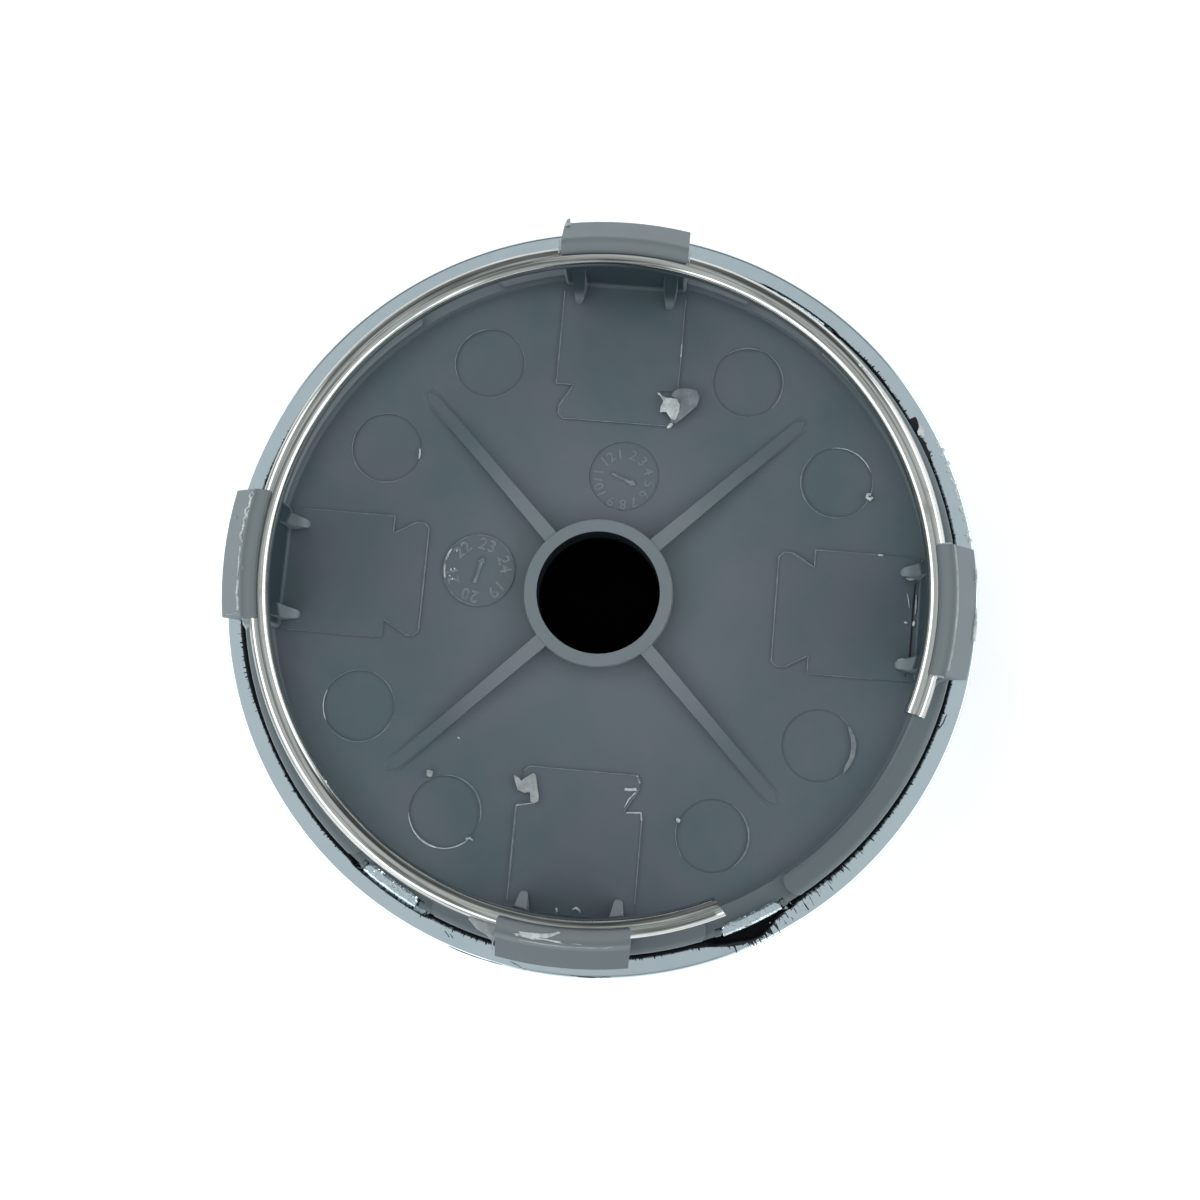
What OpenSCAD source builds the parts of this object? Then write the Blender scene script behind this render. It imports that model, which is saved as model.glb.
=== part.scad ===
// Wheel center cap: it snaps into the centre bore of a road wheel from the outside.
// The cap lies face down, as when it is laid on a table. The ring that it rests on
// is at Z = 0, the cap's axis is Z, and its four clips point up. X passes through
// the middle of one clip.
// Four pieces make it: a chromed bezel, a black front disc, a grey moulded base
// with the clips, and a round wire ring that springs the clips outwards.

/* [Base] */
// Diameter of the base, which everything round it follows
base_d = 59.3; // [52:0.1:72]
// Thickness of the floor
floor_t = 2.2; // [1.6:0.1:3]
// Width of the raised rim round the floor
rim_w = 2.1; // [1.6:0.1:2.6]
// Height of the rim above the floor
rim_h = 1.2; // [0.9:0.1:1.8]
// Radius on the rim's inner edge
rim_round = 0.5; // [0.2:0.05:0.7]
// Outside diameter of the hub in the middle
hub_d = 12.4; // [11.8:0.1:15]
// Diameter of the hole through the hub
hub_hole_d = 10.3; // [8:0.1:11]
// Height of the hub above the floor
hub_h = 1.0; // [0.6:0.1:3]
// Distance between the rim and the far end of each rib
rib_stop = 4.65; // [2:0.05:8]
// Width of each rib where it leaves the hub
rib_w = 1.2; // [0.8:0.1:2]

/* [Bezel] */
// Width of the flange outside the wall that holds the base
flange_w = 1.65; // [1.3:0.05:4]
// Height from the resting ring to the back of the flange
bezel_h = 4.5; // [4.1:0.1:5]
// Height of the rounded nose, below the upright edge of the flange
nose_h = 3.4; // [2.4:0.1:3.6]
// Width of the flat ring that the cap rests on
rest_w = 1.0; // [0.6:0.1:1.4]
// Radius on the outer edge of the flange's back
back_round = 0.3; // [0.1:0.05:0.5]
// Width of the bevel round the mouth that takes the base
mouth_bevel = 0.25; // [0.2:0.05:0.6]
// Thickness of the lip in front of the disc
lip_t = 0.9; // [0.8:0.1:1.4]
// How far the lip reaches in over the disc's edge
lip_reach = 1.1; // [0.7:0.1:2]
// Slope of the lip's front, measured inwards from the resting ring
lip_slope = 0.7; // [0.3:0.1:0.8]

/* [Front disc] */
// How far the disc's edge stays inside the base's edge, which leaves the base its seat
disc_inset = 0.95; // [0.6:0.05:2]
// Thickness of the clamped edge
disc_edge_t = 1.1; // [0.8:0.1:1.6]
// How far the middle of the disc stands forward of the clamped edge
disc_step = 0.2; // [0.1:0.05:0.3]
// Rise of the disc's shallow dome
disc_crown = 0.35; // [0:0.05:0.5]

/* [Clips] */
// Width of each clip
clip_w = 10.4; // [8:0.2:13]
// Height of the clips above the floor
clip_h = 7.6; // [6:0.1:10]
// Thickness of a clip's stem
clip_t = 2.4; // [2.2:0.1:3]
// How far the barbs stand out past the base, to catch behind the wheel's bore
barb_over = 0.55; // [0.2:0.05:0.6]
// How far the barb stands out from the clip's stem
barb_reach = 1.3; // [0.8:0.1:1.5]
// Height of the barb's widest line below the clip's top
barb_drop = 1.6; // [1:0.1:2.4]
// Width of the sloping lead-in on the clip's tip
lead_in_w = 1.85; // [1.2:0.05:2]
// Distance from a clip's end to the middle of its gusset
gusset_inset = 1.33; // [0.9:0.01:2.2]
// Width of a gusset at the clip
gusset_w = 1.25; // [0.8:0.05:1.8]
// How far a gusset reaches in over the floor
gusset_reach = 1.6; // [1:0.1:2.5]
// Radius on the upright inner edges of a clip
clip_round = 0.4; // [0.2:0.05:0.6]
// Cover over the wire in the clip's groove
lip_cover = 0.35; // [0.25:0.05:0.5]
// How far the clip's lip reaches in past the middle of the wire
lip_past = 0.1; // [0.05:0.05:0.5]
// Fall of the clip's top from its ridge to the lip's edge
lip_fall = 0.1; // [0.05:0.05:0.15]
// Radius on the lip's upper edge
lip_nose = 0.2; // [0.1:0.05:0.25]

/* [Spring ring] */
// Thickness of the clip's stem outside the wire
ring_inset = 0.9; // [0.4:0.05:0.9]
// Diameter of the wire
wire_d = 1.7; // [1.2:0.1:1.9]
// Angle that is left open between the wire's ends
ring_gap = 46; // [20:1:60]
// Direction of the middle of that opening
ring_gap_at = 319; // [305:1:325]

/* [Snap fingers] */
// Thickness of a finger
finger_t = 0.6; // [0.4:0.05:0.8]
// Width of a finger, as an angle round the axis
finger_arc = 10; // [6:0.5:12]
// How far the hook reaches in over the base
hook_reach = 0.3; // [0.2:0.05:0.5]
// Depth of the recess in the rim that the hook lies in
hook_recess = 0.6; // [0.4:0.05:0.8]
// Width of that recess between the round ends of the rim, as an angle round the axis
recess_arc = 14.5; // [14.5:0.5:18]
// Depth of the relief in the bezel's wall behind a finger
relief = 0.35; // [0.3:0.05:0.9]

/* [Moulding marks] */
// Diameter of the ejector pins and of the two date stamps
pin_d = 6; // [4:0.2:7]
// Distance between the rim and the middle of the ejector pins
pin_inset = 5.45; // [3.6:0.05:7]
// Distance between the hub and the date stamps
stamp_gap = 1.1; // [0.6:0.1:2.5]
// Depth or height of a mark on the floor
mark_t = 0.1; // [0.05:0.05:0.2]
// Length of the mould insert's face, from the clip inwards
insert_len = 11.7; // [9:0.1:13]
// Depth of the notch in each side of that face
insert_notch = 1.5; // [0.8:0.1:2.2]
// Distance from that face's inner edge to the square side of the notch
insert_head = 3.0; // [2.4:0.1:4]

/* [Fits] */
// Clearance between the base and the bezel's wall
base_gap = 0.2; // [0.1:0.05:0.3]
// Clearance round the disc's edge
disc_gap = 0.1; // [0.05:0.05:0.2]
// Clearance round the wire in its grooves
wire_gap = 0.05; // [0.02:0.01:0.1]
// Clearance between a finger and the notch that it passes through
finger_gap = 0.1; // [0.05:0.05:0.2]
// Clearance between a finger's back and the line of the bezel's wall
finger_back_gap = 0.05; // [0.05:0.05:0.15]
// Clearance between a hook and the floor of its recess
hook_gap = 0.05; // [0.05:0.05:0.15]

/* [Hidden] */
$fn = 120;

// Colours, as they look in daylight
grey_plastic = [0.40, 0.43, 0.46];
chrome_plate = [0.80, 0.86, 0.89];
black_plastic = [0.02, 0.02, 0.025];
spring_steel = [0.72, 0.72, 0.68];

// Overlap that joins two forms of one moulding
weld = 0.2;
// Margin of a cut past the surface that it leaves through
past = 1;

// Radii of the base and the bezel round it
base_r = base_d / 2;
rim_in_r = base_r - rim_w;
hub_r = hub_d / 2;
rib_end = rim_in_r - rib_stop;
pocket_r = base_r + base_gap;
cap_r = pocket_r + flange_w;
disc_r = base_r - disc_inset;
disc_pocket_r = disc_r + disc_gap;
lip_r = disc_r - lip_reach;
rest_in_r = lip_r + lip_slope;
rest_out_r = rest_in_r + rest_w;

// Radii of the clips, from the barb inwards, and of the wire that lies in them
barb_r = base_r + barb_over;
stem_r = barb_r - barb_reach;
ridge_r = barb_r - lead_in_w;
clip_in = stem_r - clip_t;
wire_r = wire_d / 2;
groove_r = wire_r + wire_gap;
ring_r = stem_r - ring_inset - groove_r;
pin_r = pin_d / 2;
pin_at = rim_in_r - pin_inset;

// Heights
seat_z = lip_t + disc_edge_t;
floor_z = seat_z + floor_t;
rim_z = floor_z + rim_h;
recess_z = rim_z - hook_recess;
hub_z = floor_z + hub_h;
top_z = floor_z + clip_h;
barb_z = top_z - barb_drop;

wire_z = top_z - lip_cover - groove_r;
// Upright land of the barb, and the height of its sloping underside
barb_land = 0.4;
barb_under = 1.1;
// Inner lip of the cradle, above the groove's lowest line
cradle_lip = 0.15;

// The ends of the rim at each recess are round in plan, a little blunter than half its width
rim_end_blunt = 0.15;
rim_end_r = rim_w / 2 + rim_end_blunt;
rim_mid_r = base_r - rim_w / 2;
rim_end_at = recess_arc / 2 + rim_end_r / rim_mid_r * 180 / PI;

// Side of the insert's face next to the clip, and at its narrower head
insert_half = clip_w / 2;
insert_step = 0.4;
insert_head_half = insert_half - insert_step;
// Bevel of the head's corners, and length of the slanted side of the notch
insert_corner = 0.4;
insert_slant = 1.1;

// Drop from the hub's top to the ribs, and width of a rib's far end as a share of its root
rib_drop = 0.1;
rib_taper = 0.75;

// A gusset's round toe as a share of its width, and its knee as shares of its reach and the clip
toe_share = 0.3;
knee_reach_share = 0.4;
knee_height_share = 0.25;

// Fingers
finger_out_r = pocket_r - finger_back_gap;
finger_in_r = finger_out_r - finger_t;
hook_in_r = finger_in_r - hook_reach;
hook_z = recess_z + hook_gap;
// Bevel of the hook as a share of its reach
hook_lead_share = 0.6;
// Room to each side of a finger, as an angle: in the rim's notch, and in the bezel's wall
notch_side = 1;
relief_side = 2;
finger_at = [60, 120, 240, 300];

// Four clips, four ribs between them, and the ejector pins to each side of the ribs
clip_at = [0, 90, 180, 270];
rib_at = [45, 135, 225, 315];
pins_at = [for (a = clip_at, side = [-30, 30]) a + side];
// One stamp stands up from the floor and one is sunk in it
stamp_at = hub_r + stamp_gap + pin_r;
raised_stamp_at = 173.5;
sunk_stamp_at = 83;

// Points of a quarter of an ellipse from the first angle to the last
function arc(cx, cy, rx, ry, from, to, n = 10) =
    [for (i = [0 : n]) let (a = from + (to - from) * i / n) [cx + rx * cos(a), cy + ry * sin(a)]];

// A sector ring turned from a profile, centred on one direction
module sector(at, width) {
    rotate([0, 0, at - width / 2]) rotate_extrude(angle = width) children();
}

// Bezel: the outline of its wall, turned round the axis
module bezel_wall() {
    nose_w = cap_r - rest_out_r;
    rotate_extrude()
        polygon(concat(
            [[lip_r, lip_t], [lip_r, lip_slope], [rest_in_r, 0]],
            arc(rest_out_r, nose_h, nose_w, nose_h, -90, 0, 14),
            arc(cap_r - back_round, bezel_h - back_round, back_round, back_round, 0, 90, 5),
            [[pocket_r + mouth_bevel, bezel_h], [pocket_r, bezel_h - mouth_bevel]],
            [[pocket_r, seat_z], [disc_pocket_r, seat_z], [disc_pocket_r, lip_t]]
        ));
}

// A snap finger: a thin upright tongue with a hook that leans in over the base
module finger() {
    lead = min(hook_reach, rim_z - hook_z) * hook_lead_share;
    polygon([
        [finger_in_r, seat_z - weld], [finger_out_r, seat_z - weld],
        [finger_out_r, rim_z - lead], [finger_out_r - lead, rim_z],
        [hook_in_r + lead, rim_z], [hook_in_r, rim_z - lead],
        [hook_in_r, hook_z], [finger_in_r, hook_z]
    ]);
}

module chrome_bezel() {
    color(chrome_plate) {
        difference() {
            bezel_wall();
            for (a = finger_at)
                sector(a, finger_arc + 2 * relief_side)
                    translate([pocket_r - past, seat_z]) square([past + relief, bezel_h]);
        }
        for (a = finger_at) sector(a, finger_arc) finger();
    }
}

// Front disc: flat at the back, a clamped edge, and a slightly domed face
module front_disc() {
    face_r = lip_r - disc_gap;
    face_z = lip_t - disc_step;
    corner = disc_step / 2;
    dome_r = face_r - corner;
    flattest = 0.01;
    ball_r = (dome_r * dome_r + disc_crown * disc_crown) / (2 * max(disc_crown, flattest));
    rings = 12;
    dome = [for (i = [0 : rings]) let (r = dome_r * i / rings)
        [r, face_z - disc_crown + ball_r - sqrt(ball_r * ball_r - r * r)]];
    color(black_plastic)
        rotate_extrude()
            polygon(concat(
                dome,
                [[face_r, face_z + corner], [face_r, lip_t], [disc_r, lip_t]],
                [[disc_r, seat_z], [0, seat_z]]
            ));
}

// Base: the floor with the raised rim round it
module floor_and_rim() {
    draft = 0.1;
    rotate_extrude()
        polygon(concat(
            [[0, seat_z], [base_r, seat_z], [base_r, rim_z - draft], [base_r - draft, rim_z]],
            arc(rim_in_r + rim_round, rim_z - rim_round, rim_round, rim_round, 90, 180, 6),
            [[rim_in_r - draft, floor_z], [0, floor_z]]
        ));
}

module hub() {
    draft = 0.08;
    rotate_extrude()
        polygon([
            [0, floor_z - weld], [hub_r + draft, floor_z - weld], [hub_r + draft, floor_z],
            [hub_r, hub_z - draft], [hub_r - draft, hub_z], [0, hub_z]
        ]);
}

// A rib: almost as high as the hub at its root, and nearly run out at its pointed far end
module rib() {
    root = hub_r - weld;
    root_z = hub_z - rib_drop;
    end_w = rib_w * rib_taper;
    intersection() {
        rotate([90, 0, 0])
            linear_extrude(height = 2 * rib_w, center = true)
                polygon([
                    [root, floor_z - weld], [rib_end, floor_z - weld],
                    [rib_end, floor_z + mark_t], [root, root_z]
                ]);
        linear_extrude(height = hub_z + past)
            polygon([
                [root, -rib_w / 2], [rib_end - end_w, -end_w / 2], [rib_end, 0],
                [rib_end - end_w, end_w / 2], [root, rib_w / 2]
            ]);
    }
}

// The clip's section, from the floor up to the barb and the lip over the wire
module clip_section() {
    lip_in = ring_r - lip_past;
    cradle_z = wire_z - groove_r + cradle_lip;
    difference() {
        polygon(concat(
            [[clip_in - past, floor_z - weld], [stem_r, floor_z - weld]],
            [[stem_r, barb_z - barb_land - barb_under], [barb_r, barb_z - barb_land]],
            [[barb_r, barb_z], [ridge_r, top_z]],
            arc(lip_in + lip_nose, top_z - lip_fall - lip_nose, lip_nose, lip_nose, 90, 180, 5),
            [[lip_in, cradle_z], [clip_in - past, cradle_z]]
        ));
        translate([ring_r, wire_z]) circle(groove_r);
    }
}

// A gusset: a tapered web with a rounded toe between the clip and the floor
module gusset() {
    toe = clip_in - gusset_reach;
    toe_r = gusset_w * toe_share;
    knee = clip_in - gusset_reach * knee_reach_share;
    intersection() {
        rotate([90, 0, 0])
            linear_extrude(height = 2 * gusset_w, center = true)
                polygon([
                    [toe, floor_z - weld], [toe, floor_z + weld],
                    [knee, floor_z + clip_h * knee_height_share],
                    [clip_in, wire_z - wire_d], [clip_in + weld, wire_z - wire_d],
                    [clip_in + weld, floor_z - weld]
                ]);
        linear_extrude(height = top_z)
            union() {
                translate([toe + toe_r, 0]) circle(toe_r);
                polygon([
                    [toe + toe_r, -toe_r], [clip_in + weld, -gusset_w / 2],
                    [clip_in + weld, gusset_w / 2], [toe + toe_r, toe_r]
                ]);
            }
    }
}

// The face of the mould insert that formed a clip: it has a notch in each side
module insert_face() {
    inner = clip_in - insert_len;
    side = [
        [clip_in, insert_half], [inner + insert_head, insert_half],
        [inner + insert_head, insert_half - insert_notch], [inner + insert_slant, insert_head_half],
        [inner + insert_corner, insert_head_half], [inner, insert_head_half - insert_corner]
    ];
    other_side = [for (i = [len(side) - 1 : -1 : 0]) [side[i][0], -side[i][1]]];
    linear_extrude(height = mark_t + weld) polygon(concat(side, other_side));
}

// Plan of a clip: parallel ends, a flat inner face, and rounded inner edges
module clip_plan() {
    near = clip_in + clip_round;
    half = clip_w / 2 - clip_round;
    polygon(concat(
        arc(near, -half, clip_round, clip_round, -90, -180, 5),
        arc(near, half, clip_round, clip_round, 180, 90, 5),
        [[cap_r, clip_w / 2], [cap_r, -clip_w / 2]]
    ));
}

// All clips are cut from one turned ring, and each has two gussets and its insert's face
module clips() {
    intersection() {
        rotate_extrude() clip_section();
        linear_extrude(height = top_z + past)
            for (a = clip_at) rotate(a) clip_plan();
    }
    for (a = clip_at)
        rotate([0, 0, a]) {
            for (side = [-1, 1]) translate([0, side * (clip_w / 2 - gusset_inset), 0]) gusset();
            translate([0, 0, floor_z - weld]) insert_face();
        }
}

module pin_mark(r, at) {
    rotate([0, 0, at]) translate([r, 0, 0]) cylinder(h = mark_t + past, r = pin_r);
}

// Recess in the rim for a hook, between the round ends of the rim, and the notch behind it
module hook_room() {
    difference() {
        sector(0, 2 * rim_end_at)
            translate([rim_in_r - past, recess_z]) square([rim_w + 2 * past, clip_h]);
        for (side = [-1, 1])
            rotate([0, 0, side * rim_end_at])
                translate([rim_mid_r, 0, 0]) cylinder(h = top_z, r = rim_end_r);
    }
    sector(0, finger_arc + 2 * notch_side)
        translate([finger_in_r - finger_gap, seat_z - past]) square([rim_w, clip_h]);
}

module clip_base() {
    color(grey_plastic)
        difference() {
            union() {
                floor_and_rim();
                hub();
                for (a = rib_at) rotate([0, 0, a]) rib();
                clips();
                translate([0, 0, floor_z - past]) pin_mark(stamp_at, raised_stamp_at);
            }
            translate([0, 0, seat_z - past]) cylinder(h = hub_z + past, d = hub_hole_d);
            for (a = finger_at) rotate([0, 0, a]) hook_room();
            translate([0, 0, floor_z - mark_t]) {
                for (a = pins_at) pin_mark(pin_at, a);
                pin_mark(stamp_at, sunk_stamp_at);
            }
        }
}

// Spring ring: a round wire with its two ends apart
module spring_ring() {
    color(spring_steel)
        translate([0, 0, wire_z])
            rotate([0, 0, ring_gap_at + ring_gap / 2])
                rotate_extrude(angle = 360 - ring_gap)
                    translate([ring_r, 0]) circle(wire_r);
}

clip_base();
chrome_bezel();
front_disc();
spring_ring();
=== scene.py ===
# %% [markdown]
# # A snap-in wheel center cap, seen from behind
# The cap lies face down, so the camera looks at its grey clip base, the four barbed clips,
# the round spring wire that lies in them, and the chromed flange round the outside.
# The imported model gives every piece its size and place. This script dresses those pieces,
# adds what is too fine for the solids, lights them and sets the camera.

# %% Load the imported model
import bpy
import math
import random
from mathutils import Matrix, Vector


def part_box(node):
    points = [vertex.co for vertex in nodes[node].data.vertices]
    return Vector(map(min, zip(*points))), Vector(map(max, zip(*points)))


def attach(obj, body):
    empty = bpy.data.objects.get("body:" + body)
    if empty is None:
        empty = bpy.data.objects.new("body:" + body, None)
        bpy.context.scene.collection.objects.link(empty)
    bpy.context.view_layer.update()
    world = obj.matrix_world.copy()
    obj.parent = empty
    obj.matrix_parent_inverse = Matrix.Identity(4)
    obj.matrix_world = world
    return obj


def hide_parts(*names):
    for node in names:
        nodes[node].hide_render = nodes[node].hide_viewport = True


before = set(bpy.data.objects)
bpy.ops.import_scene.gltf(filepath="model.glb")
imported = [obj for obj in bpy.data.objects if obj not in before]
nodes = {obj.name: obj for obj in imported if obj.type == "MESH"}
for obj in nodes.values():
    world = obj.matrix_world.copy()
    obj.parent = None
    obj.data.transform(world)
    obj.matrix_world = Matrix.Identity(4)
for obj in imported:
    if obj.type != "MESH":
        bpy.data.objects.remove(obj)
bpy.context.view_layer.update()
MM = 0.001
print("nodes:", sorted(nodes))

# %% [markdown]
# ## Sizes that the new pieces share with the solids
# A new piece has to sit on the solids exactly, so its place comes from their boxes. A size that
# a box can't give is written once, in millimetres, as it was designed.

# %% Read the main levels from the frame
base_low, base_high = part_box("clip_base")
ring_low, ring_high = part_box("spring_ring")
seat_z = base_low.z
top_z = base_high.z
floor_z = seat_z + 2.2 * MM
wire_z = (ring_low.z + ring_high.z) / 2
wire_r = (ring_high.z - ring_low.z) / 2
ring_r = ring_high.y - wire_r
print("floor %.2f mm, top %.2f mm" % (floor_z / MM, top_z / MM))
print("wire radius %.2f mm, on a circle of %.2f mm" % (wire_r / MM, ring_r / MM))

# %% [markdown]
# ## The camera
# The cap was photographed from close by, almost straight down its axis. The clips stand 7 mm
# nearer to the lens than the flange, and look larger for it. So the camera's distance matters
# more than its tilt: it stands 130 mm above the flange's edge and leans 8 degrees.

# %% Place the camera
def new_object(name, data):
    made = bpy.data.objects.new(name, data)
    bpy.context.scene.collection.objects.link(made)
    return made


camera_distance = 130 * MM
camera_lean = math.radians(8.04)
camera_lean_towards = math.radians(107.0)
camera_roll = math.radians(-4.94)
camera_offset = Vector((0.116 * MM, -0.483 * MM, camera_distance))
focus_level = Vector((0, 0, 4.0 * MM))
sensor_mm = 36
pixels_per_mm = 11.91
photo_width = 1200

turn = Matrix.Rotation(camera_lean_towards, 3, "Z")
turn @= Matrix.Rotation(camera_lean, 3, "Y")
turn @= Matrix.Rotation(camera_roll - camera_lean_towards, 3, "Z")
turn.transpose()

camera_data = bpy.data.cameras.new("camera")
camera_data.sensor_width = sensor_mm
camera_data.lens = sensor_mm * pixels_per_mm * camera_distance / MM / photo_width
camera_data.clip_start = 1 * MM
camera = new_object("camera", camera_data)
camera.matrix_world = Matrix.Translation(focus_level + turn @ camera_offset) @ turn.to_4x4()
bpy.context.scene.camera = camera
print("lens %.2f mm at %s" % (camera_data.lens, camera.matrix_world.translation))

# %% [markdown]
# ## Light
# A chromed part is photographed in a tent of white cloth with a long softbox on its left and one
# on its right. Each is a bright band above the table, and the cloth overhead is darker. That
# draws a bright line along each side of the round wire with a grey one between them. The far and
# the near side of the tent have no box, so the wire stays grey at the top and at the bottom of
# the picture. The world's strength follows the ray: three tables of levels by height, for the
# boxes, the far side and the near side, are blended by the way the ray heads. Overhead the level
# is one at which a colour renders about as it is written.

# %% Helpers that fill sockets and add a node
def plug(sockets, values):
    for name, value in values.items():
        if isinstance(value, bpy.types.NodeSocket):
            value.id_data.links.new(value, sockets[name])
        else:
            sockets[name].default_value = value


def add_node(tree, kind, inputs, **settings):
    made = tree.nodes.new("ShaderNode" + kind)
    for name, value in settings.items():
        setattr(made, name, value)
    plug(made.inputs, inputs)
    return made


# %% Helpers for sums, directions, ramps and mixes, each of which returns an output
def math_node(operation, first, second=0.0, third=0.0):
    inputs = {0: first, 1: second, 2: third}
    return add_node(first.id_data, "Math", inputs, operation=operation).outputs[0]


def both(first, second):
    return math_node("MULTIPLY", first, second)


def vector_node(operation, first, second=(0, 0, 0)):
    made = add_node(first.id_data, "VectorMath", {0: first, 1: second}, operation=operation)
    return made.outputs["Value" if operation in ("DOT_PRODUCT", "LENGTH") else "Vector"]


def flattened(vector):
    return vector_node("MULTIPLY", vector, (1, 1, 0))


def axes_of(vector):
    return add_node(vector.id_data, "SeparateXYZ", {"Vector": vector}).outputs


def combined(x, y, z=0.0):
    return add_node(x.id_data, "CombineXYZ", {"X": x, "Y": y, "Z": z}).outputs[0]


def ramp(factor, stops):
    made = add_node(factor.id_data, "ValToRGB", {"Fac": factor})
    while len(made.color_ramp.elements) < len(stops):
        made.color_ramp.elements.new(0.5)
    for element, (position, color) in zip(made.color_ramp.elements, stops):
        element.position = position
        element.color = (*color, 1)
    return made.outputs["Color"]


def mix_colors(factor, first, second):
    inputs = {0: factor}
    for slot, color in ((6, first), (7, second)):
        inputs[slot] = (*color, 1) if isinstance(color, tuple) else color
    return add_node(factor.id_data, "Mix", inputs, data_type="RGBA").outputs[2]


def spread(value, start, end, **settings):
    inputs = {"Value": value, "From Min": start, "From Max": end}
    return add_node(value.id_data, "MapRange", inputs, **settings).outputs["Result"]


def fade(value, start, end):
    return spread(value, start, end, interpolation_type="SMOOTHSTEP")


# %% A light tent around the cap
side_levels = [(0.0, 0.95), (0.19, 1.05), (0.26, 3.5), (0.47, 3.5), (0.57, 0.70), (1.0, 0.58)]
far_levels = [(0.0, 0.42), (0.3, 0.20), (0.82, 0.18), (0.9, 0.58), (1.0, 0.54)]
near_levels = [(0.0, 0.62), (0.35, 0.50), (0.7, 0.28), (0.9, 0.40), (1.0, 0.52)]
right_box = (0.995, -0.105, 0)
left_box = (-0.934, -0.358, 0)
tent = bpy.data.worlds.new("light_tent")
bpy.context.scene.world = tent
tent.use_nodes = True
tree = tent.node_tree
ray = add_node(tree, "TexCoord", {}).outputs["Generated"]
heading = vector_node("NORMALIZE", flattened(ray))
to_right = vector_node("DOT_PRODUCT", heading, right_box)
to_left = vector_node("DOT_PRODUCT", heading, left_box)
to_far = axes_of(heading)["Y"]
at_sides, at_far, at_near = [
    ramp(axes_of(ray)["Z"], [(z, (v * 0.98, v, v * 1.01)) for z, v in levels])
    for levels in (side_levels, far_levels, near_levels)]
tent_color = mix_colors(fade(to_far, -0.5, 0.5), at_near, at_far)
on_boxes = math_node("MAXIMUM", to_right, to_left)
tent_color = mix_colors(fade(on_boxes, 0.5, 0.68), tent_color, at_sides)
plug(tree.nodes["Background"].inputs, {"Color": tent_color})
print("light tent of", len(tree.nodes), "nodes")

# %% [markdown]
# One soft lamp at the upper left of the picture gives the light a side, as in the photograph:
# the inner face of the far clip and the foot of the rim below it stay in shade. The lamp is
# hidden from mirrors, because the chrome shows no round lamp.

# %% One soft lamp
lamp_place = Vector((-190, 350, 260)) * MM
lamp_data = bpy.data.lights.new("softbox", "AREA")
lamp_data.shape = "DISK"
lamp_data.size = 320 * MM
lamp_data.energy = 0.67
lamp = new_object("softbox", lamp_data)
lamp.visible_glossy = False
lamp_turn = (-lamp_place).to_track_quat("-Z", "Y").to_matrix().to_4x4()
lamp.matrix_world = Matrix.Translation(lamp_place) @ lamp_turn
bpy.context.scene.view_settings.view_transform = "Standard"
print("lamp of %.2f W, %.0f mm away" % (lamp_data.energy, lamp_place.length / MM))

# %% [markdown]
# ## The table
# The cap lies on white paper. The paper is a real surface, so it keeps the cap's soft shadow and
# throws light up onto the clips. A little emission, for rays that come from the camera or from
# a mirror, lifts it to plain white without adding light to the object.

# %% White paper under the cap
def new_material(name, metallic, roughness):
    material = bpy.data.materials.new(name)
    material.use_nodes = True
    finish = material.node_tree.nodes["Principled BSDF"].inputs
    plug(finish, {"Metallic": metallic, "Roughness": roughness})
    return material, finish


def paper_white():
    material, finish = new_material("paper_white", 0.0, 0.9)
    path = add_node(material.node_tree, "LightPath", {}).outputs
    seen = math_node("ADD", path["Is Camera Ray"], path["Is Glossy Ray"])
    seen = math_node("ADD", seen, path["Is Transmission Ray"])
    plug(finish, {"Base Color": (0.86, 0.86, 0.86, 1), "Specular IOR Level": 0.1,
                  "Emission Color": (1, 1, 1, 1), "Emission Strength": both(seen, 0.30)})
    return material


bpy.ops.object.select_all(action="DESELECT")
bpy.ops.mesh.primitive_plane_add(size=4)
paper = bpy.context.object
paper.name = "paper"
paper.data.materials.append(paper_white())
print("paper of", tuple(paper.dimensions), "m")

# %% [markdown]
# ## Grey moulded plastic
# The base, its clips and ribs are one grey moulding. Above the floor, on the hub, the ribs and
# the clips, the grey is paler. The grey has faint clouds of teal and mauve where the melt flowed.
# Object coordinates are in metres, so a noise of scale 160 has clouds about 6 mm across. The tone
# then changes with the place on the moulding, which is told by height above the floor, distance
# from the axis and the way a face looks. Painted shade darkens the floor from the centre outwards,
# and it darkens the rim, all but the rim's outer band. The clips' outward faces are lighter with
# painted light from the sides, and darker with painted shade on the near side. A clip's crest has
# painted shade below the ridge and at its inner edge, and a painted highlight along the ridge. Its
# inward face lies in shade, the gussets catch more light on the near side, and the wall of the
# hub's hole is painted near black as shade.

# %% Helpers for textures
def noise(vector, scale, detail=3.0, roughness=0.5):
    inputs = {"Vector": vector, "Scale": scale, "Detail": detail, "Roughness": roughness}
    return add_node(vector.id_data, "TexNoise", inputs).outputs["Fac"]


def bump(height, strength, distance, normal=None):
    inputs = {"Height": height, "Strength": strength, "Distance": distance}
    if normal is not None:
        inputs["Normal"] = normal
    return add_node(height.id_data, "Bump", inputs).outputs["Normal"]


def grey_ramp(factor, stops):
    return ramp(factor, [(position, (value,) * 3) for position, value in stops])


def object_place(material):
    return add_node(material.node_tree, "TexCoord", {}).outputs["Object"]


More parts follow.
